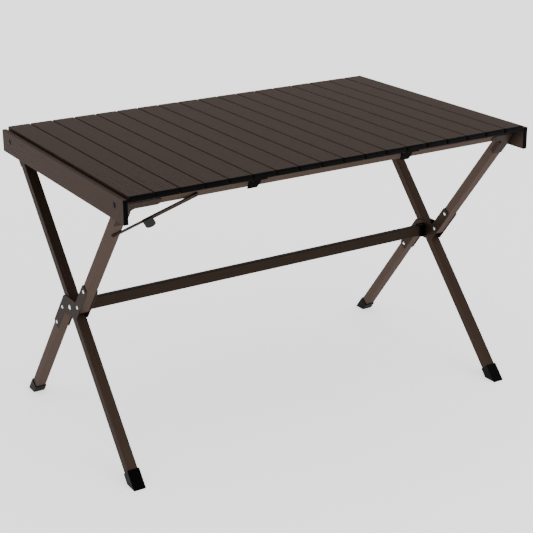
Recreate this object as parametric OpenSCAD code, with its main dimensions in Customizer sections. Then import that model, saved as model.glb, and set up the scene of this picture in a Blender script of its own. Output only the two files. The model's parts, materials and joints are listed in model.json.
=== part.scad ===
// Folding roll-top camping table: aluminium slats on a frame of two crossed leg pairs.
// X runs along the table, -Y is the front, +Z is up, and the floor is at z = 0.

/* [Table] */
// Depth of the top, from the front caps to the rear caps
table_depth = 700; // [580:10:840]
// Height of the top above the floor
table_height = 705; // [585:5:850]

/* [Slats] */
// Distance from one slat to the next
slat_pitch = 60; // [50:1:72]
// Gap between two slats
slat_gap = 3; // [2.8:0.1:4]
// Thickness of a slat
slat_thickness = 14; // [12:0.5:16]
// Wall of a slat's extrusion
slat_wall = 1; // [0.8:0.1:1.5]
// Thickness of the plastic cap on the end of a slat
cap_thickness = 4; // [3:0.5:6]
// Height of the elastic cord above a slat's underside
cord_height = 4.5; // [4:0.25:6]
// Diameter of the elastic cord
cord_diameter = 3; // [2:0.5:4]
// Distance from the end of the slats to the elastic cord
cord_inset = 66; // [40:1:120]

/* [End rails] */
// Gap between the last slat and an end rail
end_gap = 4; // [4:0.5:8]
// Thickness of an end rail
end_rail_thickness = 11; // [10:0.5:16]
// Height of an end rail
end_rail_height = 55; // [45:1:66]
// How far an end rail's top lies below the top of the slats
end_rail_drop = 6; // [5:0.5:7]

/* [Frame] */
// Distance from the table's edge to the middle of a leg, at the floor and under the top
leg_inset = 50; // [40:1:100]
// Width of a leg along the table
leg_width = 26; // [22:1:32]
// Depth of a leg in the plane of the crossed pair
leg_depth = 24; // [20:1:29]
// Wall of the leg, rail and stretcher tubes
tube_wall = 1.2; // [1:0.1:2]
// Gap between two legs of a pair when they are folded side by side
folded_gap = 3; // [1:0.25:5]
// Width of a long rail's face
rail_face = 22; // [18:1:26]
// Depth of a long rail behind its face
rail_depth = 18; // [14:1:22]
// Thickness of the pads that the rail ends butt against
pad_thickness = 5; // [4:0.5:8]
// Depth of the stretcher, front to rear
stretcher_depth = 16; // [14:1:20]
// Height of the stretcher
stretcher_height = 29; // [25:1:35]

/* [Joints and fittings] */
// Thickness of the plates that join the two halves of a split leg
plate_thickness = 2; // [1.5:0.25:3]
// Radius of the pivot pin in the middle of a crossed pair
pivot_radius = 3.9; // [3:0.1:5]
// Running clearance round a pin
pin_clearance = 0.08; // [0.05:0.01:0.1]
// Radius of a rivet's shank
rivet_radius = 2.2; // [1.8:0.1:2.6]
// Distance from the pivot to the first rivet of a half leg
rivet_first = 40; // [38:1:50]
// Distance from the first rivet to the second
rivet_spacing = 68; // [50:1:90]
// Distance from the left leg's middle to the rivet on the rail
left_bracket_reach = 72; // [50:1:90]
// Distance from the right leg's middle to the rivet on the rail
right_bracket_reach = 44; // [30:1:60]
// Length of one link of the folding brace
brace_link = 97; // [70:1:110]
// How far below the rail the brace is riveted to the leg
brace_drop = 102; // [90:1:130]
// Length of a foot's boot along the leg
boot_length = 38; // [30:1:60]
// Wall of a foot's boot
boot_wall = 2.2; // [1.5:0.1:3]

/* [Hidden] */
$fn = 32;
slat_count = 18;
clip_slats = [6, 13];

function two_digits(i) = i < 10 ? str("0", i) : str(i);
function slat_name(i) = str("slat_", two_digits(i));
function caps_name(i) = str("slat_caps_", two_digits(i));

// Slats
slat_width = slat_pitch - slat_gap;
slat_length = table_depth - 2 * cap_thickness;
slat_bottom = table_height - slat_thickness;
slat_chamfer = 0.8;
slat_rib = 1.2;
slat_cells = 3;
cell_width = (slat_width - 2 * slat_wall - (slat_cells - 1) * slat_rib) / slat_cells;
cap_rib_height = 0.8;
cap_rib_margin = 3;
cap_side_relief = 0.3;
cap_edge = 1.2;
plug_length = 15;
plug_clearance = 0.15;

// Elastic cords, cut at each hinge line so that every slat carries its own stretch
cord_radius = cord_diameter / 2;
cord_hole_radius = cord_radius + 0.2;
cord_tip_gap = 0.05;
cord_y = table_depth / 2 - cord_inset;
cord_z = slat_bottom + cord_height;

// Hook clips, moulded onto the caps of two slats
clip_width = 36;
clip_thickness = 3.5;
clip_arm = 2.5;
clip_clearance = 1;
clip_reach = 27;

// End rails
half_slats = slat_count * slat_pitch / 2 - slat_gap / 2;
end_rail_inner = half_slats + end_gap;
end_rail_outer = end_rail_inner + end_rail_thickness;
end_rail_top = table_height - end_rail_drop;
end_hinge_x = half_slats + end_gap / 2;
end_rail_wall = 1.2;
knot_radius = end_rail_top - end_rail_wall - cord_z - 0.15;
end_cap_thickness = 3;
end_plug_length = 12;
bolt_radius = 4.5;
bolt_head = 1;
bolt_shank = 2.5;

// Crossed pairs: the long leg runs straight from the front foot to the rear rail. The other leg is
// split at the pivot, and its halves lie a leg's depth to either side, so that the pair folds flat.
leg_outer = end_rail_inner - 1.5;
leg_x = leg_outer - leg_width / 2;
half_offset = leg_depth + folded_gap;
leg_span = table_depth / 2 - leg_inset;
joint_height = slat_bottom - (rail_face + rail_depth) * 0.355;
pivot_z = joint_height / 2;
long_angle = atan2(joint_height, 2 * leg_span);
split_angle = long_angle + asin(2 * half_offset / norm([2 * leg_span, joint_height]));
tube_end_gap = 1;
sole_thickness = 3;

// Rails: a rail's outer face lies flush with the legs' outer face, and its top edge carries the slats
rail_shift = (leg_depth - rail_depth) / 2;
rail_top_gap = 0.1;
rail_half_length = end_rail_inner - pad_thickness - 1;
front_rail_t = -half_offset - rail_shift;
rear_rail_t = rail_shift;
rail_edge_z = slat_bottom - rail_top_gap - pivot_z;
front_rail_s = (rail_edge_z - (front_rail_t + rail_depth / 2) * cos(split_angle)) / sin(split_angle)
    - rail_face / 2;
rear_rail_s = (rail_edge_z + (rear_rail_t - rail_depth / 2) * cos(long_angle)) / sin(long_angle)
    - rail_face / 2;
front_face_t = -half_offset - leg_depth / 2;
rear_face_t = leg_depth / 2;
front_rail_front = -(front_rail_s + rail_face / 2) * cos(split_angle) + front_face_t * sin(split_angle);
rear_rail_back = (rear_rail_s + rail_face / 2) * cos(long_angle) + rear_face_t * sin(long_angle);

// Plates, brackets and rivets
half_leg_start = 31;
rivet_hole_radius = rivet_radius + 0.05;
rivet_head_radius = 4.4;
rivet_head_height = 1.5;
plate_margin = 1.5;
swing_gap = 0.2;
plate_end = rivet_first + rivet_spacing + 12;
bracket_thickness = 2;
bracket_rivets = [28, 54];
bracket_end = 66;
bracket_fillet = 12;
bracket_flange = 12;

// Stretcher
stretcher_gap = 0.5;
stretcher_half = leg_x - leg_width / 2 - plate_thickness - stretcher_gap;
end_fitting_length = 20;
end_fitting_wall = 2;
end_fitting_floor = 8;

// Brace: a straight pair of links from the left leg to the front rail, in front of their faces. The
// lower link is a flat bar behind the upper link, whose top flange stops it when the two are straight.
brace_width = 12;
brace_wall = 1.3;
bar_thickness = 2;
brace_gap = 0.2;
brace_standoff = 0.6;
bar_width = brace_width - 2 * (brace_wall + brace_gap);
brace_run = sqrt(pow(2 * brace_link, 2) - pow(brace_drop, 2));
brace_angle = atan2(brace_drop, brace_run);
brace_low = [-leg_x, front_rail_s - brace_drop];
brace_high = brace_low + [brace_run, brace_drop];
brace_middle = (brace_low + brace_high) / 2;
brace_slot = 4.2;
bar_t = front_face_t - brace_standoff - bar_thickness;
web_t = bar_t - brace_gap - brace_wall;
spacer_radius = 6;
grip_start = 8;
grip_width = 24;
grip_drop = 22;
grip_front = 2;
grip_behind = 1.2;
upper_link_tail = grip_start + grip_width - 2;

// The plane of the split leg: local Z runs up that leg, local -Y is its front face
module split_frame() {
    translate([0, 0, pivot_z]) rotate([90 - split_angle, 0, 0]) children();
}

// The plane of the long leg: local Z runs up that leg, local +Y is its rear face
module long_frame() {
    translate([0, 0, pivot_z]) rotate([long_angle - 90, 0, 0]) children();
}

module both_ends() {
    children();
    mirror([0, 1, 0]) children();
}

module box_between(low, high) {
    translate(low) cube(high - low);
}

module above(height) {
    wide = 2 * end_rail_outer;
    box_between([-wide, -table_depth, height], [wide, table_depth, table_height]);
}

// Bar along X with a rectangular section, centred on [t, s]
module tube_x(half_length, t, s, depth, face) {
    difference() {
        box_between(
            [-half_length, t - depth / 2, s - face / 2],
            [half_length, t + depth / 2, s + face / 2]
        );
        box_between(
            [-half_length - 1, t - depth / 2 + tube_wall, s - face / 2 + tube_wall],
            [half_length + 1, t + depth / 2 - tube_wall, s + face / 2 - tube_wall]
        );
    }
}

// Leg tube along local Z, centred on [x, t]
module leg_tube(x, t, low, high) {
    difference() {
        box_between(
            [x - leg_width / 2, t - leg_depth / 2, low],
            [x + leg_width / 2, t + leg_depth / 2, high]
        );
        box_between(
            [x - leg_width / 2 + tube_wall, t - leg_depth / 2 + tube_wall, low - 1],
            [x + leg_width / 2 - tube_wall, t + leg_depth / 2 - tube_wall, high + 1]
        );
    }
}

module pin_x(radius, from_x, to_x, t, s) {
    translate([from_x, t, s]) rotate([0, 90, 0]) cylinder(r = radius, h = to_x - from_x);
}

module pin_y(radius, x, s, from_t, to_t) {
    translate([x, to_t, s]) rotate([90, 0, 0]) cylinder(r = radius, h = to_t - from_t);
}

// Domed rivet head with its base at the origin, standing along +Z
module rivet_head() {
    cylinder(r1 = rivet_head_radius, r2 = rivet_head_radius * 0.65, h = rivet_head_height);
}

// ---- Top ----

function slat_x(i) = (i - (slat_count + 1) / 2) * slat_pitch;
function left_reach(i) = i == 1 ? end_hinge_x + slat_x(1) : slat_pitch / 2;
function right_reach(i) = i == slat_count ? end_hinge_x - slat_x(slat_count) : slat_pitch / 2;

module slat_profile() {
    half = slat_width / 2;
    difference() {
        polygon([
            [-half, 0], [half, 0],
            [half, slat_thickness - slat_chamfer], [half - slat_chamfer, slat_thickness],
            [-half + slat_chamfer, slat_thickness], [-half, slat_thickness - slat_chamfer]
        ]);
        for (k = [0:slat_cells - 1])
            translate([-half + slat_wall + k * (cell_width + slat_rib), slat_wall])
                square([cell_width, slat_thickness - 2 * slat_wall]);
    }
}

module slat(i) {
    color("#5b4f47") translate([slat_x(i), 0, slat_bottom]) difference() {
        translate([0, slat_length / 2, 0]) rotate([90, 0, 0]) linear_extrude(slat_length) slat_profile();
        for (side = [-1, 1])
            pin_x(cord_hole_radius, -slat_pitch / 2, slat_pitch / 2, side * cord_y, cord_height);
    }
}

// Cap at the front end of a slat: a flange with a raised band, and a plug in each cell
module slat_cap() {
    half = slat_width / 2 - cap_side_relief;
    face = table_depth / 2 - cap_rib_height;
    translate([-half, 0, 0]) rotate([90, 0, 90]) linear_extrude(2 * half) polygon([
        [-face, 0], [-slat_length / 2, 0], [-slat_length / 2, slat_thickness],
        [-face + cap_edge, slat_thickness], [-face, slat_thickness - cap_edge]
    ]);
    box_between(
        [-half + cap_rib_margin, -table_depth / 2, cap_rib_margin],
        [half - cap_rib_margin, -face, slat_thickness - cap_rib_margin]
    );
    for (k = [0:slat_cells - 1])
        translate([-slat_width / 2 + slat_wall + k * (cell_width + slat_rib), -slat_length / 2, slat_wall])
            box_between(
                [plug_clearance, 0, plug_clearance],
                [cell_width - plug_clearance, plug_length, slat_thickness - 2 * slat_wall - plug_clearance]
            );
}

// Stretch of elastic cord with round tips, from one hinge line to the next
module cord_stretch(from_x, to_x) {
    low = from_x + cord_tip_gap + cord_radius;
    high = to_x - cord_tip_gap - cord_radius;
    pin_x(cord_radius, low, high, 0, 0);
    for (x = [low, high]) translate([x, 0, 0]) sphere(r = cord_radius);
}

// Hook that hangs in front of a rail whose nearest edge is at edge_y
module clip(edge_y) {
    tongue = edge_y - clip_clearance;
    left = -slat_width / 2 + cap_side_relief;
    box_between([left, -table_depth / 2 + cap_rib_height, -clip_arm], [left + clip_width, tongue, 0]);
    box_between([left, tongue - clip_thickness, -clip_reach], [left + clip_width, tongue, -clip_arm]);
}

module slat_caps(i) {
    has_clip = len(search(i, clip_slats)) > 0;
    color("#1e2020") translate([slat_x(i), 0, slat_bottom]) {
        union() {
            slat_cap();
            if (has_clip) clip(front_rail_front);
        }
        union() {
            mirror([0, 1, 0]) slat_cap();
            if (has_clip) mirror([0, 1, 0]) clip(-rear_rail_back);
        }
        for (side = [-1, 1])
            translate([0, side * cord_y, cord_height]) cord_stretch(-left_reach(i), right_reach(i));
    }
}

// Drawn at the right end
module end_rail() {
    half_length = table_depth / 2 - end_cap_thickness;
    bottom = end_rail_top - end_rail_height;
    color("#54463f") difference() {
        box_between([end_rail_inner, -half_length, bottom], [end_rail_outer, half_length, end_rail_top]);
        box_between(
            [end_rail_inner + end_rail_wall, -table_depth, bottom + end_rail_wall],
            [end_rail_outer - end_rail_wall, table_depth, end_rail_top - end_rail_wall]
        );
        for (side = [-1, 1])
            pin_x(cord_hole_radius, end_rail_inner - 1, end_rail_inner + 3, side * cord_y, cord_z);
        split_frame() bolt_hole(front_rail_t, front_rail_s);
        long_frame() bolt_hole(rear_rail_t, rear_rail_s);
    }
}

module bolt_hole(t, s) {
    pin_x(bolt_shank, end_rail_inner - 1, end_rail_outer + 1, t, s);
}

// Pad that a rail's end butts against, with the bolt that holds it through the end rail
module rail_pad(t, s) {
    box_between(
        [end_rail_inner - pad_thickness, t - rail_depth / 2, s - rail_face / 2],
        [end_rail_inner, t + rail_depth / 2, s + rail_face / 2]
    );
    pin_x(bolt_shank, end_rail_inner, end_rail_outer, t, s);
    pin_x(bolt_radius, end_rail_outer, end_rail_outer + bolt_head, t, s);
}

module end_fittings() {
    bottom = end_rail_top - end_rail_height;
    margin = end_rail_wall + plug_clearance;
    color("#1e2020") {
        both_ends() {
            box_between(
                [end_rail_inner, -table_depth / 2, bottom],
                [end_rail_outer, -table_depth / 2 + end_cap_thickness, end_rail_top]
            );
            box_between(
                [end_rail_inner + margin, -table_depth / 2 + end_cap_thickness, bottom + margin],
                [
                    end_rail_outer - margin,
                    -table_depth / 2 + end_cap_thickness + end_plug_length,
                    end_rail_top - margin
                ]
            );
        }
        split_frame() rail_pad(front_rail_t, front_rail_s);
        long_frame() rail_pad(rear_rail_t, rear_rail_s);
        for (side = [-1, 1]) translate([0, side * cord_y, cord_z]) {
            tip = end_hinge_x + cord_tip_gap + cord_radius;
            knot = end_rail_inner + end_rail_wall + knot_radius;
            pin_x(cord_radius, tip, knot, 0, 0);
            translate([tip, 0, 0]) sphere(r = cord_radius);
            translate([knot, 0, 0]) sphere(r = knot_radius);
        }
    }
}

// ---- Rear frame: rear rail and the two long legs ----

module bracket_rivet_holes(reach, side, face_t, rail_s) {
    x = side * leg_x;
    pin_y(rivet_hole_radius, x - side * reach, rail_s, face_t - 4, face_t + 4);
    for (drop = bracket_rivets) pin_y(rivet_hole_radius, x, rail_s - drop, face_t - 4, face_t + 4);
}

module all_bracket_rivet_holes(face_t, rail_s) {
    bracket_rivet_holes(left_bracket_reach, -1, face_t, rail_s);
    bracket_rivet_holes(right_bracket_reach, 1, face_t, rail_s);
}

module rear_rail() {
    color("#6a6058") long_frame() difference() {
        tube_x(rail_half_length, rear_rail_t, rear_rail_s, rail_depth, rail_face);
        all_bracket_rivet_holes(rear_face_t, rear_rail_s);
    }
}

module long_leg(side) {
    color("#54463f") intersection() {
        long_frame() difference() {
            leg_tube(side * leg_x, 0, -table_height, rear_rail_s - rail_face / 2 - tube_end_gap);
            pin_x(pivot_radius + pin_clearance, side * leg_x - leg_width, side * leg_x + leg_width, 0, 0);
            all_bracket_rivet_holes(rear_face_t, rear_rail_s);
        }
        above(sole_thickness);
        // A long leg is a little slimmer than the gap between the two plates that it swings in
        box_between(
            [side * leg_x - leg_width / 2 + swing_gap, -table_depth, 0],
            [side * leg_x + leg_width / 2 - swing_gap, table_depth, table_height]
        );
    }
}

// Flat bracket from a leg to its rail, with a flange on the inner side of the leg. It lies on the
// outer face at face_t; out is the sign of local Y that points away from the tubes.
module bracket(side, reach, face_t, rail_s, out) {
    rail_low = rail_s - rail_face / 2;
    rail_high = rail_s + rail_face / 2;
    inner = leg_x - leg_width / 2;
    outer = leg_x + leg_width / 2;
    reach_end = leg_x - reach;
    low_t = out > 0 ? face_t : face_t - bracket_thickness;
    difference() {
        union() {
            translate([0, low_t + bracket_thickness, 0]) rotate([90, 0, 0])
                linear_extrude(bracket_thickness) scale([side, 1]) difference() {
                    union() {
                        translate([reach_end, rail_low]) square([rail_half_length - reach_end, rail_face]);
                        translate([reach_end, rail_s]) circle(r = rail_face / 2);
                        translate([inner, rail_s - bracket_end])
                            square([leg_width, bracket_end - rail_face / 2]);
                        translate([inner - bracket_fillet, rail_low - bracket_fillet])
                            square(bracket_fillet);
                    }
                    translate([inner - bracket_fillet, rail_low - bracket_fillet])
                        circle(r = bracket_fillet);
                }
            flange_t = out > 0 ? face_t - bracket_flange : face_t;
            flange_x = side > 0 ? inner - bracket_thickness : -inner;
            box_between(
                [flange_x, flange_t - (out > 0 ? 0 : bracket_thickness), rail_s - bracket_end],
                [
                    flange_x + bracket_thickness,
                    flange_t + bracket_flange + (out > 0 ? bracket_thickness : 0),
                    rail_low - bracket_fillet
                ]
            );
        }
        bracket_rivet_holes(reach, side, face_t, rail_s);
    }
}

module rear_brackets() {
    color("#6a6058") long_frame() {
        bracket(-1, left_bracket_reach, rear_face_t, rear_rail_s, 1);
        bracket(1, right_bracket_reach, rear_face_t, rear_rail_s, 1);
    }
}

// Rivet along local Y: shank inwards through the sheet and the tube's wall, head outside
module face_rivet(x, s, sheet_t, out) {
    head_turn = out > 0 ? -90 : 90;
    inner_t = sheet_t - out * (bracket_thickness + tube_wall);
    pin_y(rivet_radius, x, s, min(sheet_t, inner_t), max(sheet_t, inner_t));
    translate([x, sheet_t, s]) rotate([head_turn, 0, 0]) rivet_head();
}

module bracket_rivets_at(face_t, rail_s, out) {
    sheet_t = face_t + out * bracket_thickness;
    for (side = [-1, 1]) {
        reach = side < 0 ? left_bracket_reach : right_bracket_reach;
        face_rivet(side * (leg_x - reach), rail_s, sheet_t, out);
        for (drop = bracket_rivets) face_rivet(side * leg_x, rail_s - drop, sheet_t, out);
    }
}

module rear_rivets() {
    color("#d8dadb") long_frame() bracket_rivets_at(rear_face_t, rear_rail_s, 1);
}

// Boot round a leg's foot end, with a level sole. The leg's own frame and offset are given.
module boot(side, offset_t) {
    x = side * leg_x;
    wide = leg_width / 2 + boot_wall;
    deep = leg_depth / 2 + boot_wall;
    sole_s = -pivot_z / sin(long_angle) - leg_depth;
    box_between(
        [x - wide, offset_t - deep, sole_s],
        [x + wide, offset_t + deep, sole_s + leg_depth + boot_length]
    );
}

module boot_hollow(side, offset_t) {
    x = side * leg_x;
    box_between(
        [x - leg_width / 2, offset_t - leg_depth / 2, -table_height],
        [x + leg_width / 2, offset_t + leg_depth / 2, 0]
    );
}

module front_feet() {
    color("#1e2020") for (side = [-1, 1]) difference() {
        intersection() {
            long_frame() boot(side, 0);
            above(0);
        }
        intersection() {
            long_frame() boot_hollow(side, 0);
            above(sole_thickness);
        }
    }
}

module stretcher() {
    color("#6a6058") translate([0, 0, pivot_z])
        tube_x(stretcher_half - end_fitting_floor, 0, 0, stretcher_depth, stretcher_height);
}

// Plastic end of the stretcher: a collar round the tube and a bored floor for the pivot pin
module stretcher_ends() {
    deep = stretcher_depth / 2 + end_fitting_wall;
    high = stretcher_height / 2 + end_fitting_wall;
    color("#1e2020") for (side = [-1, 1]) translate([0, 0, pivot_z]) mirror([side < 0 ? 1 : 0, 0, 0])
        difference() {
            box_between([stretcher_half - end_fitting_length, -deep, -high], [stretcher_half, deep, high]);
            box_between(
                [stretcher_half - end_fitting_length - 1, -stretcher_depth / 2, -stretcher_height / 2],
                [stretcher_half - end_fitting_floor, stretcher_depth / 2, stretcher_height / 2]
            );
            pin_x(
                pivot_radius + pin_clearance,
                stretcher_half - end_fitting_length, stretcher_half + 1, 0, 0
            );
        }
}

// ---- Front frame: front rail and the two split legs ----

module front_rail() {
    color("#6a6058") split_frame() difference() {
        tube_x(rail_half_length, front_rail_t, front_rail_s, rail_depth, rail_face);
        all_bracket_rivet_holes(front_face_t, front_rail_s);
        pin_y(rivet_hole_radius, brace_high[0], brace_high[1], front_face_t - 4, front_face_t + 4);
    }
}

// Rivet holes across the half legs and the plates; way is 1 for the upper half and -1 for the lower
module half_leg_holes(side, way) {
    for (s = [rivet_first, rivet_first + rivet_spacing])
        pin_x(
            rivet_hole_radius,
            side * leg_x - leg_width, side * leg_x + leg_width,
            -way * half_offset, way * s
        );
}

module upper_half_leg(side) {
    color("#54463f") split_frame() difference() {
        leg_tube(
            side * leg_x, -half_offset,
            half_leg_start, front_rail_s - rail_face / 2 - tube_end_gap
        );
        half_leg_holes(side, 1);
        all_bracket_rivet_holes(front_face_t, front_rail_s);
        pin_y(rivet_hole_radius, brace_low[0], brace_low[1], front_face_t - 4, front_face_t + 4);
    }
}

module lower_half_leg(side) {
    color("#54463f") intersection() {
        split_frame() difference() {
            leg_tube(side * leg_x, half_offset, -table_height, -half_leg_start);
            half_leg_holes(side, -1);
        }
        above(sole_thickness);
    }
}

// Outline of a joining plate in local Y and Z: a Z shape round the pivot and the two half legs
module plate_outline() {
    near = half_offset - leg_depth / 2 - plate_margin;
    far = half_offset + leg_depth / 2 + plate_margin;
    waist = rivet_first - 5;
    corner = 6;
    small = 3;
    shoulder = waist - 24;
    // One half of the outline, from its outer corner to its arm's inner edge and on over the waist
    half = [
        [-far, 8], [-far, plate_end - corner], [-far + small, plate_end - small + 1],
        [-far + corner, plate_end], [-near - small, plate_end], [-near, plate_end - small],
        [-near, waist + 11], [-near + 1, waist + 6.5], [-near + 3.5, waist + 3],
        [-near + 7.5, waist], [far - 16, shoulder], [far - 4, shoulder - 11]
    ];
    polygon(concat(half, [for (p = half) [-p[0], -p[1]]]));
}

module pivot_plates() {
    color("#54463f") split_frame() for (side = [-1, 1]) difference() {
        for (x = [side * leg_x - leg_width / 2 - plate_thickness, side * leg_x + leg_width / 2])
            translate([x, 0, 0]) rotate([90, 0, 90]) linear_extrude(plate_thickness) plate_outline();
        half_leg_holes(side, 1);
        half_leg_holes(side, -1);
        pin_x(pivot_radius, side * leg_x - leg_width, side * leg_x + leg_width, 0, 0);
    }
}

module front_brackets() {
    color("#6a6058") split_frame() {
        bracket(-1, left_bracket_reach, front_face_t, front_rail_s, -1);
        bracket(1, right_bracket_reach, front_face_t, front_rail_s, -1);
    }
}

// Rivet across a leg and its two plates, with a head on each side
module cross_rivet(side, radius, t, s) {
    low = side * leg_x - leg_width / 2 - plate_thickness;
    high = side * leg_x + leg_width / 2 + plate_thickness;
    pin_x(radius, low, high, t, s);
    translate([low, t, s]) rotate([0, -90, 0]) rivet_head();
    translate([high, t, s]) rotate([0, 90, 0]) rivet_head();
}

// Pivot pin of a crossed pair: head outside, and a plain end in the stretcher's bore
module pivot_pin(side) {
    mirror([side < 0 ? 1 : 0, 0, 0]) {
        high = leg_x + leg_width / 2 + plate_thickness;
        pin_x(pivot_radius, stretcher_half - end_fitting_floor + 1, high, 0, 0);
        translate([high, 0, 0]) rotate([0, 90, 0])
            cylinder(r1 = pivot_radius + 2, r2 = pivot_radius, h = rivet_head_height);
    }
}

// Pin of the brace: its shank reaches from the tube's wall through the link, under a head in front
module brace_pin(point, link_t) {
    pin_y(rivet_radius, point[0], point[1], link_t - brace_gap / 2, front_face_t + tube_wall);
    translate([point[0], link_t - brace_gap / 2, point[1]]) rotate([90, 0, 0]) rivet_head();
}

// Washer between a tube's face and the link that turns on its pin
module spacer(point, link_back) {
    difference() {
        pin_y(spacer_radius, point[0], point[1], link_back + brace_gap / 2, front_face_t);
        pin_y(rivet_hole_radius, point[0], point[1], link_back - 1, front_face_t + 1);
    }
}

// The rivets of the front frame, and the brace's two washers
module front_rivets() {
    color("#d8dadb") split_frame() {
        bracket_rivets_at(front_face_t, front_rail_s, -1);
        for (side = [-1, 1]) {
            for (way = [-1, 1], s = [rivet_first, rivet_first + rivet_spacing])
                cross_rivet(side, rivet_radius, -way * half_offset, way * s);
            pivot_pin(side);
        }
        brace_pin(brace_low, bar_t);
        brace_pin(brace_high, web_t);
        spacer(brace_low, bar_t + bar_thickness);
        spacer(brace_high, web_t + brace_wall);
    }
}

module rear_feet() {
    color("#1e2020") for (side = [-1, 1]) difference() {
        intersection() {
            split_frame() boot(side, half_offset);
            above(0);
        }
        intersection() {
            split_frame() boot_hollow(side, half_offset);
            above(sole_thickness);
        }
    }
}

// ---- Brace ----

// The links' own frame: the middle rivet is at X 0 and Z 0, and local X runs up to the rail
module link_frame() {
    split_frame() translate([brace_middle[0], 0, brace_middle[1]]) rotate([0, -brace_angle, 0]) children();
}

// Upper link: a web and a top flange that reaches back over the lower link
module brace_upper_link() {
    back = web_t + brace_wall;
    color("#7d736a") link_frame() {
        difference() {
            union() {
                box_between(
                    [-upper_link_tail, web_t, -brace_width / 2],
                    [brace_link, back, brace_width / 2]
                );
                pin_y(brace_width / 2, brace_link, 0, web_t, back);
                box_between(
                    [-upper_link_tail, web_t, brace_width / 2 - brace_wall],
                    [brace_link - spacer_radius - 1, bar_t + bar_thickness, brace_width / 2]
                );
            }
            pin_y(rivet_radius + pin_clearance, brace_link, 0, web_t - 1, back + 1);
        }
        // Middle rivet, set in this link and turning in the lower one
        pin_y(rivet_radius, 0, 0, back, bar_t + bar_thickness + brace_gap / 2);
        translate([0, web_t, 0]) rotate([90, 0, 0]) rivet_head();
        translate([0, bar_t + bar_thickness + brace_gap / 2, 0]) rotate([-90, 0, 0]) rivet_head();
    }
}

// Lower link: a flat bar with a slot at its low end, which gives the linkage its play
module brace_lower_link() {
    hole = rivet_radius + 0.2;
    low = -brace_link - brace_slot;
    back = bar_t + bar_thickness;
    color("#7d736a") link_frame() difference() {
        union() {
            box_between([low, bar_t, -bar_width / 2], [0, back, bar_width / 2]);
            for (x = [low, 0]) pin_y(bar_width / 2, x, 0, bar_t, back);
        }
        pin_y(rivet_radius + pin_clearance, 0, 0, bar_t - 1, back + 1);
        pin_y(hole, -brace_link, 0, bar_t - 1, back + 1);
        pin_y(hole, low, 0, bar_t - 1, back + 1);
        box_between([low, bar_t - 1, -hole], [-brace_link, back + 1, hole]);
    }
}

// Grip over the tail of the upper link, with a round-ended tab below it
module brace_pull_tab() {
    centre = -grip_start - grip_width / 2;
    color("#1e2020") link_frame() difference() {
        translate([0, web_t + grip_behind, 0]) rotate([90, 0, 0]) linear_extrude(grip_front + grip_behind) {
            translate([centre - grip_width / 2, -grip_drop])
                square([grip_width, grip_drop + brace_width / 2]);
            translate([centre, -grip_drop]) circle(r = grip_width / 2);
        }
        box_between(
            [-upper_link_tail, web_t, -brace_width / 2],
            [0, web_t + 2 * grip_behind, brace_width]
        );
        box_between(
            [-2 * grip_width, web_t + brace_wall / 4, -bar_width / 2 - brace_gap],
            [0, web_t + 2 * grip_behind, brace_width]
        );
    }
}

for (i = [1:slat_count]) slat(i);
for (i = [1:slat_count]) slat_caps(i);
mirror([1, 0, 0]) end_rail();  // left_end_rail
end_rail();  // right_end_rail
mirror([1, 0, 0]) end_fittings();  // left_end_fittings
end_fittings();  // right_end_fittings
rear_rail();
long_leg(-1);  // left_leg_long
long_leg(1);  // right_leg_long
rear_brackets();
rear_rivets();
front_feet();
stretcher();
stretcher_ends();
front_rail();
upper_half_leg(-1);  // left_leg_upper
lower_half_leg(-1);  // left_leg_lower
upper_half_leg(1);  // right_leg_upper
lower_half_leg(1);  // right_leg_lower
pivot_plates();
front_brackets();
front_rivets();
rear_feet();
brace_upper_link();
brace_lower_link();
brace_pull_tab();
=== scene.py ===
# %% [markdown]
# # A roll-top camping table
# The table has a slatted top that rolls up, on two crossed pairs of legs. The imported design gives
# every solid its place and its motion. This notebook gives each of them the shape of its edges, the
# small fittings and the finish that the real one shows.

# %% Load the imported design
import json
import math

import bmesh
import bpy
from mathutils import Euler, Matrix, Vector


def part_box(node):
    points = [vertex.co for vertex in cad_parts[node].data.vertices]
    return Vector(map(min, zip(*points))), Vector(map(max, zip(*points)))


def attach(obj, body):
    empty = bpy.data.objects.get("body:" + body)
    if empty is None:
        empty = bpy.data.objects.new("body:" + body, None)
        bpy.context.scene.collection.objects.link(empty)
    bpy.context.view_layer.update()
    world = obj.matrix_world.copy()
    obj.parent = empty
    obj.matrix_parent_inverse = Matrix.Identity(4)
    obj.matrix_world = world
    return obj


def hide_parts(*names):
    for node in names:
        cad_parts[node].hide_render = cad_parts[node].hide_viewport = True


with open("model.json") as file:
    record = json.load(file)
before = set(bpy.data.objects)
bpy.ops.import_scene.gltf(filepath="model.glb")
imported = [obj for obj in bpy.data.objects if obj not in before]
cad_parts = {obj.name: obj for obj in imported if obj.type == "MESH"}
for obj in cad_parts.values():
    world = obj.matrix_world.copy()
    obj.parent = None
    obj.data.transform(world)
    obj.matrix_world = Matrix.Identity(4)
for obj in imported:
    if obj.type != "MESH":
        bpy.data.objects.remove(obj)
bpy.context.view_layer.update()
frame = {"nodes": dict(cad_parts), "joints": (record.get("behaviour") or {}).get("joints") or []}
nodes = frame["nodes"]

# %% [markdown]
# ## Camera
# A long lens from the front left, a little above the top, keeps the legs nearly upright. A shift of
# the lens moves the table up the frame without tilting the camera further.

# %% Camera
LENS_MM = 88.96
SENSOR_MM = 36.0
SHIFT_UP = -0.1126
CAMERA_PLACE = Vector((-1.64346, -2.72504, 1.52467))
CAMERA_TURN_DEG = 31.177
CAMERA_TILT_DEG = 17.945
CAMERA_ROLL_DEG = 0.541

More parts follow.
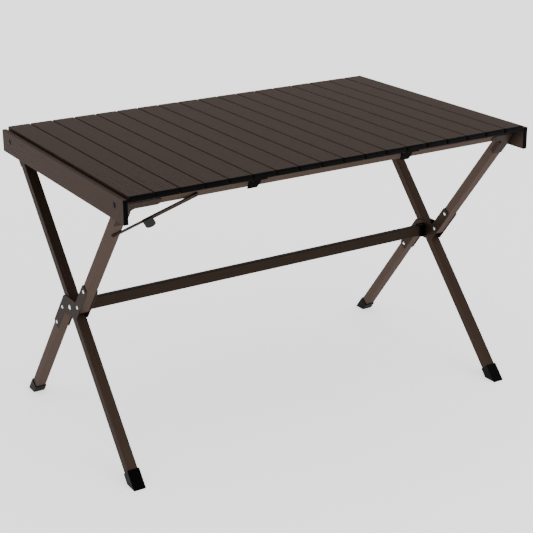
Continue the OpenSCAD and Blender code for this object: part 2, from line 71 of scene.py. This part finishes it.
camera = bpy.data.objects.new("camera", bpy.data.cameras.new("camera"))
bpy.context.scene.collection.objects.link(camera)
camera.data.lens = LENS_MM
camera.data.sensor_width = SENSOR_MM
camera.data.shift_y = SHIFT_UP
camera.location = CAMERA_PLACE
tilt = Euler((math.radians(90 - CAMERA_TILT_DEG), 0, math.radians(-CAMERA_TURN_DEG))).to_matrix()
roll = Matrix.Rotation(math.radians(-CAMERA_ROLL_DEG), 3, "Z")
camera.rotation_euler = (tilt @ roll).to_euler()
bpy.context.scene.camera = camera
print("camera at", tuple(camera.location))

# %% [markdown]
# ## Colours and nodes
# Colours are written as the hex values that a painter would pick on a screen, and one function
# turns them to the linear values that a shader works in. One more function adds a node, sets it and
# links it.

# %% Colour and node helpers
def linear(hex_colour):
    channels = [int(hex_colour[i : i + 2], 16) / 255 for i in (1, 3, 5)]
    return [c / 12.92 if c <= 0.04045 else ((c + 0.055) / 1.055) ** 2.4 for c in channels] + [1.0]


def add_node(tree, kind, settings=None, values=None, links=None):
    """Adds a node, sets its properties and sockets, and links other nodes' outputs to it."""
    node = tree.nodes.new(kind)
    for key, value in (settings or {}).items():
        setattr(node, key, value)
    for key, value in (values or {}).items():
        node.inputs[key].default_value = value
    for key, (source, socket) in (links or {}).items():
        tree.links.new(source.outputs[socket], node.inputs[key])
    return node


def new_material(name):
    material = bpy.data.materials.new(name)
    material.use_nodes = True
    tree = material.node_tree
    tree.nodes.clear()
    return material, tree


# %% [markdown]
# ## One pattern, three effects
# A scratch, a pore or a bump on a real surface changes its colour, its gloss and its height at the
# same spot. So one pattern drives all three here. What stays the same all over a finish, such as
# how metallic it is, is set on the shader itself.

# %% From a pattern to a surface
PATTERN_LOW = 0.3
PATTERN_HIGH = 0.7


def patterned_surface(tree, pattern, tones, spread, roughness, swing, relief, shine):
    """Lets a pattern, given as a node and its socket, set the tone, gloss and relief of a surface.

    The tone goes from dark to light while the pattern goes from the spread below a half to the same
    above it. The relief is the bump's strength and its height in metres.
    """
    tone = add_node(tree, "ShaderNodeValToRGB", links={"Fac": pattern})
    ramp = tone.color_ramp.elements
    ramp[0].position, ramp[1].position = 0.5 - spread, 0.5 + spread
    ramp[0].color, ramp[1].color = linear(tones[0]), linear(tones[1])
    polish = add_node(
        tree,
        "ShaderNodeMapRange",
        values={
            "From Min": PATTERN_LOW,
            "From Max": PATTERN_HIGH,
            "To Min": roughness - swing,
            "To Max": roughness + swing,
        },
        links={"Value": pattern},
    )
    bump = add_node(
        tree,
        "ShaderNodeBump",
        values={"Strength": relief[0], "Distance": relief[1]},
        links={"Height": pattern},
    )
    surface = add_node(
        tree,
        "ShaderNodeBsdfPrincipled",
        values=shine,
        links={
            "Base Color": (tone, "Color"),
            "Roughness": (polish, "Result"),
            "Normal": (bump, "Normal"),
        },
    )
    add_node(tree, "ShaderNodeOutputMaterial", links={"Surface": (surface, "BSDF")})


# %% [markdown]
# ## Brown anodised aluminium
# The slats and tubes are extruded, then anodised brown. Extruding draws fine lines along each
# length, and the acid bath before anodising leaves a satin skin that scatters most of the light.
# The lines are noise that is stretched along the piece, so each direction of extrusion needs its
# own turn of the pattern.

# %% Anodised aluminium
DRAW_LINE_WIDTH = 0.0016  # real lines are about 0.2 mm apart; drawn coarser so that they show
DRAW_LINE_LENGTH = 0.09
ETCH_GRAIN = 0.0035  # the satin skin's mottle is about 0.3 mm on a real piece; coarser here too
MOTTLE_SHARE = 0.4
ANODISED_ROUGHNESS = 0.46
ANODISED_SWING = 0.06


def anodised_aluminium(name, dark, light, turn):
    """Satin brown metal whose draw lines run along local Z after the turn, given in degrees."""
    material, tree = new_material(name)
    place = add_node(tree, "ShaderNodeTexCoord")
    along = add_node(
        tree,
        "ShaderNodeMapping",
        settings={"vector_type": "TEXTURE"},
        values={
            "Rotation": [math.radians(angle) for angle in turn],
            "Scale": (DRAW_LINE_WIDTH, DRAW_LINE_WIDTH, DRAW_LINE_LENGTH),
        },
        links={"Vector": (place, "Object")},
    )
    lines = add_node(
        tree,
        "ShaderNodeTexNoise",
        values={"Scale": 1.0, "Detail": 3.0, "Roughness": 0.6},
        links={"Vector": (along, "Vector")},
    )
    mottle = add_node(
        tree,
        "ShaderNodeTexNoise",
        values={"Scale": 1 / ETCH_GRAIN, "Detail": 2.0, "Roughness": 0.6},
        links={"Vector": (place, "Object")},
    )
    both = add_node(
        tree,
        "ShaderNodeMix",
        settings={"data_type": "FLOAT"},
        values={"Factor": MOTTLE_SHARE},
        links={"A": (lines, "Fac"), "B": (mottle, "Fac")},
    )
    patterned_surface(
        tree,
        (both, "Result"),
        (dark, light),
        spread=0.16,
        roughness=ANODISED_ROUGHNESS,
        swing=ANODISED_SWING,
        relief=(0.35, 0.0002),
        # the dye in the oxide layer tints the glint as well as the body of the metal
        shine={"Metallic": 0.7, "Specular Tint": linear("#9c8878")},
    )
    return material


# %% [markdown]
# ## Planes of the legs
# The two leg planes lean by different angles. The design's own hinges give them: the fold hinge is
# the pivot of the crossed pairs, and the brace turns square to the split legs' plane.

# %% Planes of the legs
LEG_SPAN = 0.6  # from the front feet to the rear rail, along the table's depth

joints = {joint["name"]: joint for joint in frame["joints"]}
pivot_z = joints["frame_fold"]["pos_m"][2]
brace_axis = joints["brace_fold"]["axis"]
split_angle = math.degrees(math.atan2(-brace_axis[1], -brace_axis[2]))
long_angle = math.degrees(math.atan2(2 * pivot_z, LEG_SPAN))
split_turn = (90 - split_angle, 0, 0)
long_turn = (long_angle - 90, 0, 0)


def leg_plane(turn):
    """Matrix that brings shapes drawn with Z up the leg and X along the table to their place."""
    return Matrix.Translation((0, 0, pivot_z)) @ Matrix.Rotation(math.radians(turn[0]), 4, "X")


split_plane = leg_plane(split_turn)
long_plane = leg_plane(long_turn)
print("split and long legs lean at", round(split_angle, 2), round(long_angle, 2), "degrees")

# %% [markdown]
# Slats, end rails, rails, legs and stretcher each have their own pair of browns. Those of the rails
# and the split legs are lighter with painted light, as their faces look down to the bright floor,
# and those of the stretcher and the long legs are darker with painted shade from the top above
# them.
# Each finish also turns its draw lines along its piece.

# %% Anodised finishes, with painted light and shade in the browns of rails, legs and stretcher
ALONG_X = (0, 90, 0)
ALONG_Y = (90, 0, 0)
slat_finish = anodised_aluminium("anodised_slat", "#31261f", "#3f322a", ALONG_Y)
end_rail_finish = anodised_aluminium("anodised_end_rail", "#332923", "#40342d", ALONG_Y)
# lighter brown: painted light on the rails' faces that look down to the bright floor
rail_painted_light_finish = anodised_aluminium("anodised_rail_painted_light", "#3a3029", "#473b33", ALONG_X)
# darker brown: painted shade on the stretcher, which stands in the shade under the top
stretcher_painted_shade_finish = anodised_aluminium("anodised_stretcher_painted_shade", "#1c1511", "#261e19", ALONG_X)
# lighter brown: painted light on the split legs' faces that look down to the bright floor
split_leg_painted_light_finish = anodised_aluminium("anodised_split_leg_painted_light", "#3f3530", "#4c413a", split_turn)
# darker brown: painted shade on the long legs' faces that look up under the top
long_leg_painted_shade_finish = anodised_aluminium("anodised_long_leg_painted_shade", "#2a211b", "#362b24", long_turn)
print("anodised finishes: 6")

# %% [markdown]
# ## Coated sheet steel, nylon and rivets
# The corner brackets, joining plates and brace links are stamped from sheet and powder coated,
# which leaves a faint orange peel. Caps, boots and fittings are moulded nylon, whose matt grain
# comes from a spark-eroded mould. Rivets are plain bright steel. All of them have a round grain.

# %% A finish with a round grain
GRAIN_SWING = 0.05


def grained(name, tones, grain, roughness, relief_height, shine):
    """A finish whose tone, gloss and relief follow one round grain of the given size in metres."""
    material, tree = new_material(name)
    place = add_node(tree, "ShaderNodeTexCoord")
    noise = add_node(
        tree,
        "ShaderNodeTexNoise",
        values={"Scale": 1 / grain, "Detail": 3.0, "Roughness": 0.55},
        links={"Vector": (place, "Object")},
    )
    patterned_surface(
        tree,
        (noise, "Fac"),
        tones,
        spread=0.15,
        roughness=roughness,
        swing=GRAIN_SWING,
        relief=(0.4, relief_height),
        shine=shine,
    )
    return material


# %% Sheet, nylon and steel
# powder coat with metal flake on stamped steel: the peel is about 2 mm across, and the brown binder
# over the flakes keeps the glint at a grazing angle brown
coated_sheet = grained(
    "powder_coated_sheet",
    ("#2d241e", "#392e28"),
    grain=0.002,
    roughness=0.46,
    relief_height=0.0001,
    shine={"Metallic": 0.7, "Specular Tint": linear("#6f5f54")},
)
# nylon has a low, soft shine that stays near black at the edges
NYLON_SHINE = {"Metallic": 0.0, "Specular IOR Level": 0.12, "Specular Tint": linear("#404040")}
# moulded nylon: a real grain is about 0.1 mm across, drawn coarser so that it shows
moulded_nylon = grained(
    "moulded_nylon",
    ("#020202", "#060606"),
    grain=0.0008,
    roughness=0.5,
    relief_height=0.0001,
    shine=NYLON_SHINE,
)
# boots scuff on the ground, so they are rougher and a little greyer
boot_rubber = grained(
    "boot_rubber",
    ("#020202", "#070707"),
    grain=0.0014,
    roughness=0.6,
    relief_height=0.0002,
    shine=NYLON_SHINE,
)
# bright steel, faintly dulled by handling in spots of about a millimetre
rivet_steel = grained(
    "bright_rivet_steel",
    ("#b9bcbe", "#dcdfe0"),
    grain=0.0012,
    roughness=0.26,
    relief_height=0.00005,
    shine={"Metallic": 1.0},
)
print("grained finishes: 4")

# %% [markdown]
# ## Working on solids
# Every real edge is a little round, and that is what catches light along the slats and tubes. A
# copy of a design solid has its loose triangles merged and its flat faces joined, and then its
# edges are bevelled.

# %% Copies of design solids
SHARP_ANGLE = math.radians(32)
FLAT_ANGLE = math.radians(1)
MERGE_DISTANCE = 1e-6


def round_edges(bm, edges, radius, segments):
    bmesh.ops.bevel(
        bm,
        geom=edges,
        offset=radius,
        offset_type="OFFSET",
        segments=segments,
        profile=0.5,
        affect="EDGES",
        material=-1,
        clamp_overlap=True,
    )


def copy_of(node, radius, segments=2, shortest=0.004):
    """A mesh copy of a design node with merged faces, whose edges over `shortest` are rounded."""
    bm = bmesh.new()
    bm.from_mesh(nodes[node].data)
    bmesh.ops.remove_doubles(bm, verts=bm.verts, dist=MERGE_DISTANCE)
    bmesh.ops.dissolve_limit(bm, angle_limit=FLAT_ANGLE, verts=bm.verts, edges=bm.edges)
    sharp = [
        edge
        for edge in bm.edges
        if len(edge.link_faces) == 2
        and edge.calc_face_angle() > SHARP_ANGLE
        and edge.calc_length() > shortest
    ]
    round_edges(bm, sharp, radius, segments)
    return bm


# %% [markdown]
# Small fittings are built up from two simple shapes: a block, and a solid that is turned as on a
# lathe. Each shape is made by itself and then joined to the piece that it belongs to.

# %% Blocks and turned shapes
def join(bm, part):
    """Adds one bmesh's shapes to another."""
    mesh = bpy.data.meshes.new("part")
    part.to_mesh(mesh)
    part.free()
    bm.from_mesh(mesh)
    bpy.data.meshes.remove(mesh)


def block(bm, low, high, radius=0.0, segments=2):
    """Adds a box with rounded edges between its lowest and its highest corner."""
    part = bmesh.new()
    bmesh.ops.create_cube(part, size=1.0)
    low, high = Vector(low), Vector(high)
    bmesh.ops.scale(part, verts=part.verts, vec=high - low)
    bmesh.ops.translate(part, verts=part.verts, vec=(low + high) / 2)
    if radius:
        round_edges(part, part.edges[:], radius, segments)
    join(bm, part)


def turned(bm, profile, base, direction, steps=24):
    """Adds a solid of revolution, from profile pairs (radius, height) that go from foot to tip."""
    part = bmesh.new()
    verts = [part.verts.new((radius, 0, height)) for radius, height in profile]
    edges = [part.edges.new(pair) for pair in zip(verts, verts[1:])]
    bmesh.ops.spin(
        part,
        geom=verts + edges,
        cent=(0, 0, 0),
        axis=(0, 0, 1),
        angle=2 * math.pi,
        steps=steps,
        use_merge=True,
    )
    bmesh.ops.remove_doubles(part, verts=part.verts, dist=MERGE_DISTANCE / 10)
    stand = Vector(direction).to_track_quat("Z", "Y").to_matrix().to_4x4()
    bmesh.ops.transform(part, matrix=Matrix.Translation(base) @ stand, verts=part.verts)
    join(bm, part)


# %% [markdown]
# A finished piece needs smooth shading on its rounded edges and flat shading on its flat sides.
# Sharp edges are marked, and the normals are weighted by area so that the big flats stay flat.

# %% Finished pieces
def finish_piece(bm, name, material, body, slot, *replaced):
    """Makes the piece's object and says what it rides on and which design nodes it stands for."""
    bmesh.ops.recalc_face_normals(bm, faces=bm.faces)
    for face in bm.faces:
        face.smooth = True
    for edge in bm.edges:
        edge.smooth = len(edge.link_faces) == 2 and edge.calc_face_angle() < SHARP_ANGLE
    mesh = bpy.data.meshes.new(name)
    bm.to_mesh(mesh)
    bm.free()
    mesh.materials.append(material)
    piece = bpy.data.objects.new(name, mesh)
    bpy.context.scene.collection.objects.link(piece)
    evened = piece.modifiers.new("even_normals", "WEIGHTED_NORMAL")
    evened.keep_sharp = True
    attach(piece, body)
    if replaced:
        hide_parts(*replaced)


# %% [markdown]
# ## Slats
# Each slat is one hollow extrusion with rounded long edges. Its ends disappear into the caps, so a
# closed bar with the same outline looks the same.

# %% Slats
SLAT_COUNT = 18
SLAT_ROUNDING = 0.0014


def slat_piece(number):
    name = f"slat_{number:02d}"
    low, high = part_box(name)
    bm = bmesh.new()
    block(bm, low, high)
    width = high.x - low.x
    long_edges = [e for e in bm.edges if abs((e.verts[0].co - e.verts[1].co).y) > width]
    round_edges(bm, long_edges, SLAT_ROUNDING, 3)
    finish_piece(bm, f"{name}_bar", slat_finish, name, "slat_metal", name)


for number in range(1, SLAT_COUNT + 1):
    slat_piece(number)
print("slats:", SLAT_COUNT)

# %% [markdown]
# ## Elastic cords
# Two cords run through all slats. Only the short lengths between two slats show, so each slat
# carries its own link of each cord. A link's domed ends stay inside its neighbours' ends when the
# top rolls up.

# %% Cord links
CORD_RADIUS = 0.0015
CORD_ACROSS = 0.284  # from the table's middle to each cord
CORD_HEIGHT = 0.6955
CORD_REACH = 0.0014  # how far a link stands out past its slat's side
DOME_DEG = (0, 30, 60, 90)


def cord_link(bm, start_x, end_x, y):
    angles = [math.radians(angle) for angle in DOME_DEG]
    dome = [(CORD_RADIUS * math.sin(a), CORD_RADIUS * (1 - math.cos(a))) for a in angles]
    length = end_x - start_x
    profile = dome + [(radius, length - height) for radius, height in reversed(dome)]
    turned(bm, profile, (start_x, y, CORD_HEIGHT), (1, 0, 0), steps=12)


# %% [markdown]
# ## Hooks
# Two caps at each side of the table carry a hook that holds the top on its rail. A hook is an arm
# under the slat and a tongue that hangs beside the rail. The tongue leans and has a cut corner, so
# that it finds the rail by itself when the top is laid down.

# %% Hooks
HOOK_RADIUS = 0.0012
HOOK_LEAN = 0.008
HOOK_CUT = 0.007
ARM_THICKNESS = 0.0025
ARM_ROOT = 0.001  # how deep the arm is sunk in the cap
HOOK_BELOW = 0.001  # anything this far under the slat belongs to a hook
TONGUE_GAP = 0.0005  # between the slat's underside and the tongue's top
TONGUE_BELOW = 0.02  # and anything this far under it to the tongue


def hook_tongue(bm, low, high):
    """A plate that leans to the right as it rises, with its low right corner cut off."""
    part = bmesh.new()
    block(part, low, high)
    for vert in part.verts:
        vert.co.x += HOOK_LEAN * (vert.co.z - low[2]) / (high[2] - low[2])
    cut = bmesh.ops.bisect_plane(
        part,
        geom=part.verts[:] + part.edges[:] + part.faces[:],
        plane_co=(high[0] - HOOK_CUT, 0, low[2]),
        plane_no=(1, 0, -1),
        clear_outer=True,
    )
    rim = [element for element in cut["geom_cut"] if isinstance(element, bmesh.types.BMEdge)]
    bmesh.ops.edgeloop_fill(part, edges=rim)
    round_edges(part, part.edges[:], HOOK_RADIUS, 3)
    join(bm, part)


def hooks(bm, number, left, slat_underside):
    """Adds a hook at each side, in the places that the design's own hooks give."""
    mesh = nodes[f"slat_caps_{number:02d}"].data
    for side in (-1, 1):
        below = [
            v.co
            for v in mesh.vertices
            if v.co.z < slat_underside - HOOK_BELOW and v.co.y * side > 0
        ]
        right = max(corner.x for corner in below)
        bottom = min(corner.z for corner in below)
        inner = min(abs(corner.y) for corner in below)
        arm_end = max(abs(corner.y) for corner in below)
        tongue = [abs(corner.y) for corner in below if corner.z < slat_underside - TONGUE_BELOW]
        y = sorted((side * inner, side * arm_end))
        block(
            bm,
            (left, y[0], slat_underside - ARM_THICKNESS),
            (right, y[1], slat_underside + ARM_ROOT),
            HOOK_RADIUS / 2,
        )
        y = sorted((side * inner, side * max(tongue)))
        hook_tongue(
            bm,
            (left, y[0], bottom),
            (right - HOOK_LEAN / 2, y[1], slat_underside - TONGUE_GAP),
        )


# %% [markdown]
# ## Slat caps
# A black cap closes each end of a slat, with a raised band across its face. The two caps of a
# slat, its cord links and its hooks are one piece, because they always move together.

# %% Slat caps
CAP_SIDE_GAP = 0.0003
CAP_ROOT = 0.0005  # how far the cap reaches over the slat's end
CAP_ROUNDING = 0.0012
BAND_MARGIN = 0.0035
BAND_HEIGHT = 0.0008
BAND_ROOT = 0.001
BAND_ROUNDING = 0.0005
HOOK_DEPTH = 0.01  # caps that reach further than this under their slat have hooks


def cap_piece(number):
    slat_low, slat_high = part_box(f"slat_{number:02d}")
    low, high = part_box(f"slat_caps_{number:02d}")
    left, right = slat_low.x + CAP_SIDE_GAP, slat_high.x - CAP_SIDE_GAP
    bm = bmesh.new()
    for side, edge, slat_end in ((-1, low.y, slat_low.y), (1, high.y, slat_high.y)):
        face = edge - side * BAND_HEIGHT
        y = sorted((face, slat_end - side * CAP_ROOT))
        block(bm, (left, y[0], slat_low.z), (right, y[1], slat_high.z), CAP_ROUNDING, 3)
        y = sorted((edge, face - side * BAND_ROOT))
        block(
            bm,
            (left + BAND_MARGIN, y[0], slat_low.z + BAND_MARGIN),
            (right - BAND_MARGIN, y[1], slat_high.z - BAND_MARGIN),
            BAND_ROUNDING,
        )
        cord_link(bm, slat_low.x - CORD_REACH, slat_high.x + CORD_REACH, side * CORD_ACROSS)
    if low.z < slat_low.z - HOOK_DEPTH:
        hooks(bm, number, left, slat_low.z)
    finish_piece(
        bm,
        f"slat_{number:02d}_caps",
        moulded_nylon,
        f"slat_{number:02d}",
        "black_plastic",
        f"slat_caps_{number:02d}",
    )


for number in range(1, SLAT_COUNT + 1):
    cap_piece(number)
print("caps:", 2 * SLAT_COUNT)

# %% [markdown]
# ## End rails and their fittings
# A tall thin tube closes each end of the top. Its plastic caps have two upright ridges, and a small
# plate guides each cord into it. Two low black bolts hold it to the pads inside.

# %% Ridges and cord guides
RIDGE_PLACES = (0.3, 0.7)  # across the rail's thickness
RIDGE_WIDTH = 0.0018
RIDGE_HEIGHT = 0.0007
RIDGE_ROOT = 0.001
RIDGE_MARGIN = 0.002
GUIDE_THICKNESS = 0.0032
GUIDE_ROOT = 0.0005
GUIDE_HALF_WIDTH = 0.007
GUIDE_BELOW = 0.006
GUIDE_ABOVE = 0.003
GUIDE_ROUNDING = 0.0008


def cap_ridges(bm, rail_low, rail_high, end, face):
    y = sorted((face - end * RIDGE_ROOT, face + end * RIDGE_HEIGHT))
    for share in RIDGE_PLACES:
        x = rail_low.x + (rail_high.x - rail_low.x) * share
        block(
            bm,
            (x - RIDGE_WIDTH / 2, y[0], rail_low.z + RIDGE_MARGIN),
            (x + RIDGE_WIDTH / 2, y[1], rail_high.z - RIDGE_MARGIN),
            RIDGE_HEIGHT / 2,
        )


def cord_guides(bm, side, inner):
    x = sorted((inner - side * GUIDE_THICKNESS, inner + side * GUIDE_ROOT))
    for y in (-CORD_ACROSS, CORD_ACROSS):
        block(
            bm,
            (x[0], y - GUIDE_HALF_WIDTH, CORD_HEIGHT - GUIDE_BELOW),
            (x[1], y + GUIDE_HALF_WIDTH, CORD_HEIGHT + GUIDE_ABOVE),
            GUIDE_ROUNDING,
        )


# %% [markdown]
# A bolt's head is a low button with a shallow well for the key. Each bolt stands on the middle line
# of the long rail that it holds.

# %% Bolts
BOLT_RADIUS = 0.0075
WELL_RADIUS = 0.0028
WELL_FLOOR = 0.0004
BOLT_FOOT = -0.0005
BOLT_PROFILE = [
    (0, WELL_FLOOR),
    (WELL_RADIUS, WELL_FLOOR),
    (0.003, 0.0014),
    (0.0055, 0.0015),
    (0.0068, 0.001),
    (BOLT_RADIUS, 0.0003),
    (BOLT_RADIUS, BOLT_FOOT),
    (0, BOLT_FOOT),
]


def end_bolts(bm, side, outer):
    for plane, rail in ((split_plane, "front_rail"), (long_plane, "rear_rail")):
        turn_back = plane.inverted()
        local = [turn_back @ v.co for v in nodes[rail].data.vertices]
        middle = [(min(v[k] for v in local) + max(v[k] for v in local)) / 2 for k in (1, 2)]
        centre = plane @ Vector((outer, middle[0], middle[1]))
        turned(bm, BOLT_PROFILE, centre, (side, 0, 0))


# %% End rails
END_RAIL_ROUNDING = 0.001
END_CAP_ROUNDING = 0.0009

for side, name in ((-1, "left"), (1, "right")):
    rail, fittings, body = f"{name}_end_rail", f"{name}_end_fittings", f"{name}_end"
    tube = copy_of(rail, END_RAIL_ROUNDING, 3)
    finish_piece(tube, f"{name}_end_tube", end_rail_finish, body, "slat_metal", rail)
    rail_low, rail_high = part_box(rail)
    fit_low, fit_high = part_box(fittings)
    outer, inner = (rail_low.x, rail_high.x) if side < 0 else (rail_high.x, rail_low.x)
    bm = copy_of(fittings, END_CAP_ROUNDING, shortest=0.003)
    cap_ridges(bm, rail_low, rail_high, -1, fit_low.y)
    cap_ridges(bm, rail_low, rail_high, 1, fit_high.y)
    end_bolts(bm, side, outer)
    cord_guides(bm, side, inner)
    finish_piece(bm, f"{name}_end_caps", moulded_nylon, body, "black_plastic", fittings)
print("end rails: 2")

# %% [markdown]
# ## Tubes
# Legs and rails are drawn tubes, so their long corners are round. Only edges that run along a tube
# are long enough to be taken, and the rivet holes keep their edges under the rivet heads.

# %% Tubes
TUBE_ROUNDING = 0.0022
TUBE_EDGE = 0.1  # shorter edges stay sharp
tubes = [
    ("rear_rail", rail_painted_light_finish, "rear_frame"),
    ("front_rail", rail_painted_light_finish, "front_frame"),
    ("stretcher", stretcher_painted_shade_finish, "rear_frame"),
    ("left_leg_long", long_leg_painted_shade_finish, "rear_frame"),
    ("right_leg_long", long_leg_painted_shade_finish, "rear_frame"),
    ("left_leg_upper", split_leg_painted_light_finish, "front_frame"),
    ("left_leg_lower", split_leg_painted_light_finish, "front_frame"),
    ("right_leg_upper", split_leg_painted_light_finish, "front_frame"),
    ("right_leg_lower", split_leg_painted_light_finish, "front_frame"),
]
for node, finish, body in tubes:
    tube = copy_of(node, TUBE_ROUNDING, 3, shortest=TUBE_EDGE)
    finish_piece(tube, f"{node}_tube", finish, body, "frame_metal", node)
print("tubes:", len(tubes))

# %% [markdown]
# ## Brackets, plates and brace links
# These are stamped from sheet, so their edges are only just broken.

# %% Stamped pieces
SHEET_ROUNDING = 0.0004
stamped = [
    ("rear_brackets", "rear_frame"),
    ("front_brackets", "front_frame"),
    ("pivot_plates", "front_frame"),
    ("brace_upper_link", "brace_upper"),
    ("brace_lower_link", "brace_lower"),
]
for node, body in stamped:
    sheet = copy_of(node, SHEET_ROUNDING)
    finish_piece(sheet, f"{node}_sheet", coated_sheet, body, "bracket_metal", node)
print("stamped pieces:", len(stamped))

# %% [markdown]
# ## Moulded boots, stretcher ends and grip
# Mouldings have generous edge radii, which help the plastic to flow and the part to leave its
# mould.

# %% Mouldings
mouldings = [
    ("front_feet", "rear_frame", boot_rubber, 0.003),
    ("rear_feet", "front_frame", boot_rubber, 0.003),
    ("stretcher_ends", "rear_frame", moulded_nylon, 0.002),
    ("brace_pull_tab", "brace_upper", moulded_nylon, 0.001),
]
for node, body, finish, radius in mouldings:
    moulding = copy_of(node, radius, 3)
    finish_piece(moulding, f"{node}_moulding", finish, body, "black_plastic", node)
print("mouldings:", len(mouldings))

# %% [markdown]
# ## Rivets
# One node of the design holds many rivets. To find each one's place, a walk along the edges from
# a corner collects everything that is joined to it, and starts again at a corner that is left.

# %% Separate solids of a node
def islands(node, plane):
    """Lowest and highest corner of each separate solid of a node, in a leg plane's own frame."""
    bm = bmesh.new()
    bm.from_mesh(nodes[node].data)
    bmesh.ops.remove_doubles(bm, verts=bm.verts, dist=MERGE_DISTANCE)
    bmesh.ops.transform(bm, matrix=plane.inverted(), verts=bm.verts)
    seen = set()
    found = []
    for first in bm.verts:
        if first in seen:
            continue
        seen.add(first)
        solid = [first]
        for vert in solid:  # the list grows during the walk
            for edge in vert.link_edges:
                other = edge.other_vert(vert)
                if other not in seen:
                    seen.add(other)
                    solid.append(other)
        low = Vector([min(vert.co[k] for vert in solid) for k in range(3)])
        high = Vector([max(vert.co[k] for vert in solid) for k in range(3)])
        found.append((low, high))
    bm.free()
    return found


# %% [markdown]
# A turned head replaces each plain one of the design: a low dome with a small dimple, as the
# setting tool leaves it. A long pin gets a head at each end, but the thick pivot pins end inside
# the stretcher and get only the outer one. The brace's wide washers are black nylon.

# %% Rivets and washers
HEAD_HEIGHT = 0.0017
HEAD_FOOT = -0.0004
HEAD_SINK = 0.0015  # how deep a head's base lies under the plain head's face
PIN_LENGTH = 0.02  # anything longer runs across the table as a pin
PIVOT_RADIUS = 0.005
WASHER_SIZE = 0.011
WASHER_HOLE = 0.0026


def head_profile(radius):
    return [
        (0, HEAD_HEIGHT * 0.8),
        (radius * 0.25, HEAD_HEIGHT * 0.82),
        (radius * 0.32, HEAD_HEIGHT),
        (radius * 0.62, HEAD_HEIGHT * 0.92),
        (radius * 0.9, HEAD_HEIGHT * 0.55),
        (radius, HEAD_HEIGHT * 0.15),
        (radius, HEAD_FOOT),
        (0, HEAD_FOOT),
    ]


def pin_heads(bm, low, high, plane):
    middle = (low + high) / 2
    radius = (high.z - low.z) / 2
    for x, way in ((low.x, -1), (high.x, 1)):
        inside_stretcher = radius > PIVOT_RADIUS and way * middle.x < 0
        if not inside_stretcher:
            base = plane @ Vector((x - way * HEAD_SINK, middle.y, middle.z))
            turned(bm, head_profile(radius), base, (way, 0, 0))


def rivets(node, plane, outward, body):
    """Replaces a node's rivets, whose heads look out of the leg plane along Y, by turned ones."""
    bm = bmesh.new()
    washers = bmesh.new()
    square_to_plane = plane.to_3x3() @ Vector((0, 1, 0))
    for low, high in islands(node, plane):
        middle = (low + high) / 2
        size = high - low
        if size.x > PIN_LENGTH:
            pin_heads(bm, low, high, plane)
        elif size.x > WASHER_SIZE:
            rim = size.x / 2
            ring = [(WASHER_HOLE, 0), (rim, 0), (rim, size.y), (WASHER_HOLE, size.y)]
            base = plane @ Vector((middle.x, high.y, middle.z))
            turned(washers, ring, base, -square_to_plane)
        else:
            face = low.y if outward < 0 else high.y
            base = plane @ Vector((middle.x, face - outward * HEAD_SINK, middle.z))
            turned(bm, head_profile(size.x / 2), base, outward * square_to_plane)
    if washers.faces:
        finish_piece(washers, "brace_washers", moulded_nylon, body, "black_plastic")
    else:
        washers.free()
    finish_piece(bm, f"{node}_heads", rivet_steel, body, "rivet_steel", node)


rivets("front_rivets", split_plane, -1, "front_frame")
rivets("rear_rivets", long_plane, 1, "rear_frame")
print("rivets done")

# %% [markdown]
# ## Floor and light
# A pale floor that glows by itself and a slightly brighter white room light the table softly from
# all sides, as a light tent does. One broad lamp beside the camera adds a sheen to the slats.

# %% Floor
FLOOR_SIZE = 40.0
FLOOR_GLOW = 1.0

floor_mesh = bpy.data.meshes.new("floor")
bm = bmesh.new()
bmesh.ops.create_grid(bm, x_segments=1, y_segments=1, size=FLOOR_SIZE / 2)
bm.to_mesh(floor_mesh)
bm.free()
floor = bpy.data.objects.new("floor", floor_mesh)
bpy.context.scene.collection.objects.link(floor)
floor_paint, floor_tree = new_material("matt_white_floor")
floor_surface = add_node(
    floor_tree,
    "ShaderNodeBsdfPrincipled",
    values={
        "Base Color": linear("#e6e6e6"),
        "Roughness": 0.9,
        "Emission Color": linear("#ffffff"),
        "Emission Strength": FLOOR_GLOW,
    },
)
add_node(floor_tree, "ShaderNodeOutputMaterial", links={"Surface": (floor_surface, "BSDF")})
floor_mesh.materials.append(floor_paint)

# %% Room and lamp
ROOM_GLOW = 1.3
LAMP_SIZE = 2.2
LAMP_WATTS = 60
LAMP_PLACE = Vector((0.6, -3.6, 1.8))
LAMP_TARGET = Vector((0, 0, 0.5))

room = bpy.data.worlds.new("white_room")
bpy.context.scene.world = room
room.use_nodes = True
room_light = room.node_tree.nodes["Background"]
room_light.inputs["Color"].default_value = linear("#ffffff")
room_light.inputs["Strength"].default_value = ROOM_GLOW

light = bpy.data.lights.new("front_lamp", "AREA")
light.shape = "SQUARE"
light.size = LAMP_SIZE
light.energy = LAMP_WATTS
lamp = bpy.data.objects.new("front_lamp", light)
bpy.context.scene.collection.objects.link(lamp)
lamp.location = LAMP_PLACE
lamp.rotation_euler = (LAMP_TARGET - LAMP_PLACE).to_track_quat("-Z", "Y").to_euler()
print("stage done")
